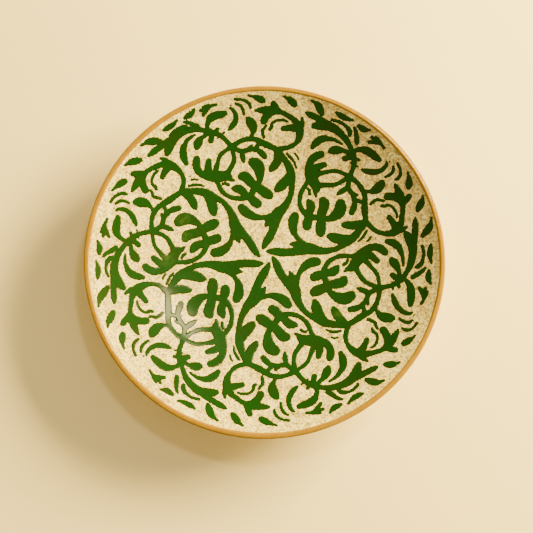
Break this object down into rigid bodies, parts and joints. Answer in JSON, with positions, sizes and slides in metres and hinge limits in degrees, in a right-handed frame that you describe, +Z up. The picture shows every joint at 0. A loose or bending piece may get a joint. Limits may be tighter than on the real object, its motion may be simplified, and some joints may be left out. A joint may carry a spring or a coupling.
{
  "type": "hand painted ceramic plate",
  "caption": "Shallow round earthenware plate on a foot ring, cream glaze painted with turning green leaf scrolls, ochre rim.",
  "frame": {"origin": "centre of the circle that the foot ring stands on", "axes": "+Z up, along the plate's axis of turning, out of the painted face; +X points to the right and +Y away when the plate is seen from above with one painted arm pointing along +X"},
  "size_m": [0.3, 0.3, 0.0387],
  "materials": {
    "bare_clay": "unglazed fired earthenware, dry and slightly gritty",
    "cream_glaze": "thin glossy cream glaze, faintly mottled with tan specks",
    "ochre_glaze": "glossy ochre yellow glaze, a little darker along its edges",
    "green_glaze": "glossy copper green painted glaze, darker at the edges of each stroke"
  },
  "bodies": {
    "root": {"clay_body": "bare_clay", "foot_ring": "bare_clay", "inner_glaze": "cream_glaze", "outer_glaze": "cream_glaze", "base_glaze": "cream_glaze", "rim_band": "ochre_glaze", "painted_scroll_1": "green_glaze", "painted_scroll_2": "green_glaze", "painted_scroll_3": "green_glaze", "painted_scroll_4": "green_glaze", "painted_scroll_5": "green_glaze", "painted_scroll_6": "green_glaze"}
  },
  "joints": []
}
